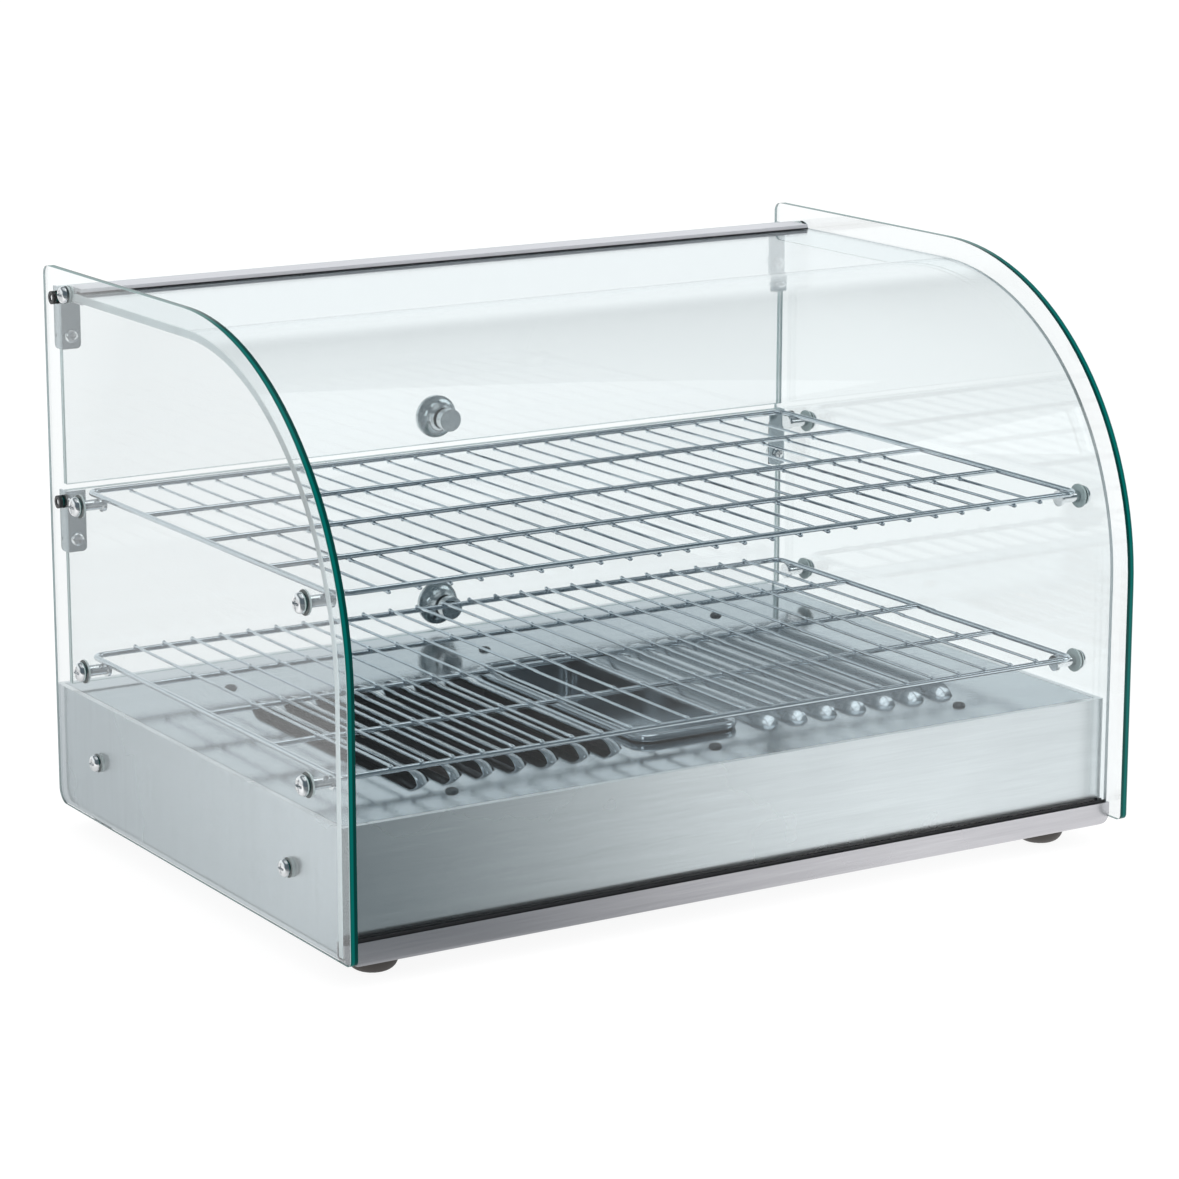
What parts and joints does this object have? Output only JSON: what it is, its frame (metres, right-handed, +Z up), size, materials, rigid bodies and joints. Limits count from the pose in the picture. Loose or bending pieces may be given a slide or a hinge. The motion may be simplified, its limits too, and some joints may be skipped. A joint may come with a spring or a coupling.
{
  "type": "heated counter-top display case",
  "caption": "Counter-top heated food display case with curved glass front, glass sides, wire shelves over a louvred steel deck with water tray, and rear flap doors.",
  "frame": {"origin": "on the counter surface under the middle of the case's bounding box", "axes": "+X to the right seen from the customer's side, along the case's width; +Y from the curved glass front to the rear doors; +Z up"},
  "size_m": [0.5618, 0.4156, 0.364],
  "materials": {
    "side_glass": "clear float glass, polished edges",
    "bent_glass": "clear bent glass",
    "door_glass": "clear float glass, polished edges",
    "brushed_steel": "brushed stainless sheet",
    "deck_steel": "satin stainless sheet",
    "rail_steel": "satin profile",
    "trim_steel": "satin profile",
    "zinc_sheet": "plain zinc-coated sheet",
    "chrome": "bright plated",
    "turned_steel": "turned, fine concentric marks",
    "seal_rubber": "black rubber",
    "foot_rubber": "dark moulded rubber",
    "black_nylon": "moulded nylon",
    "clear_nylon": "pale translucent washer",
    "dial_plastic": "hard black plastic",
    "switch_red": "red plastic",
    "lamp_amber": "amber lens",
    "element_sheath": "heat-darkened tube",
    "ceramic": "ceramic insulator",
    "terminal_plastic": "moulded block",
    "copper": "copper bulb and capillary"
  },
  "bodies": {
    "case": {"side_glass_left": "side_glass", "side_glass_right": "side_glass", "front_glass": "bent_glass", "top_rail": "rail_steel", "rail_plugs": "black_nylon", "rail_gasket": "seal_rubber", "rail_spacers": "clear_nylon", "rail_screws": "chrome", "front_trim": "trim_steel", "trim_gasket": "seal_rubber", "base_shell": "brushed_steel", "base_floor": "zinc_sheet", "rear_panel": "brushed_steel", "panel_screws": "chrome", "deck_panel": "deck_steel", "deck_screws": "chrome", "feet": "foot_rubber", "foot_screws": "chrome", "base_spacers": "clear_nylon", "base_screws": "chrome", "standoff_barrels": "chrome", "standoff_washers": "clear_nylon", "standoff_screws": "chrome", "standoff_caps": "chrome", "pivot_bushes": "black_nylon", "heating_elements": "element_sheath", "element_brackets": "zinc_sheet", "element_terminals": "ceramic", "terminal_block": "terminal_plastic", "thermostat": "ceramic", "thermostat_bulb": "copper", "rocker_frame": "black_nylon", "pilot_lamp": "lamp_amber", "cord_gland": "black_nylon"},
    "upper_shelf": {"upper_shelf_frame": "chrome", "upper_shelf_rods": "chrome"},
    "lower_shelf": {"lower_shelf_frame": "chrome", "lower_shelf_rods": "chrome"},
    "upper_door": {"upper_door_glass": "door_glass", "upper_door_brackets": "brushed_steel", "upper_door_pads": "seal_rubber", "upper_door_pins": "chrome", "upper_door_screws": "chrome", "upper_door_knob": "turned_steel", "upper_door_washers": "seal_rubber", "upper_door_nut": "turned_steel"},
    "lower_door": {"lower_door_glass": "door_glass", "lower_door_brackets": "brushed_steel", "lower_door_pads": "seal_rubber", "lower_door_pins": "chrome", "lower_door_screws": "chrome", "lower_door_knob": "turned_steel", "lower_door_washers": "seal_rubber", "lower_door_nut": "turned_steel"},
    "tray": {"water_tray": "deck_steel"},
    "dial": {"thermostat_shaft": "chrome", "thermostat_dial": "dial_plastic"},
    "rocker": {"rocker_button": "switch_red"}
  },
  "joints": [
    {"name": "upper_door_hinge", "type": "hinge", "parent": "case", "child": "upper_door", "pos_m": [0, 0.1682, 0.3455], "axis": [1, 0, 0], "range_deg": [0, 90]},
    {"name": "lower_door_hinge", "type": "hinge", "parent": "case", "child": "lower_door", "pos_m": [0, 0.1682, 0.2165], "axis": [1, 0, 0], "range_deg": [0, 90]},
    {"name": "upper_shelf_lift", "type": "slide", "parent": "case", "child": "upper_shelf", "axis": [0, 0, 1], "range_m": [0, 0.015]},
    {"name": "lower_shelf_lift", "type": "slide", "parent": "case", "child": "lower_shelf", "axis": [0, 0, 1], "range_m": [0, 0.02]},
    {"name": "tray_lift", "type": "slide", "parent": "case", "child": "tray", "axis": [0, 0, 1], "range_m": [0, 0.012]},
    {"name": "dial_turn", "type": "hinge", "parent": "case", "child": "dial", "pos_m": [0.165, 0.1912, 0.057], "axis": [0, 1, 0], "range_deg": [0, 270]},
    {"name": "rocker_tilt", "type": "hinge", "parent": "case", "child": "rocker", "pos_m": [0.095, 0.1882, 0.057], "axis": [1, 0, 0], "range_deg": [-18, 0]}
  ]
}
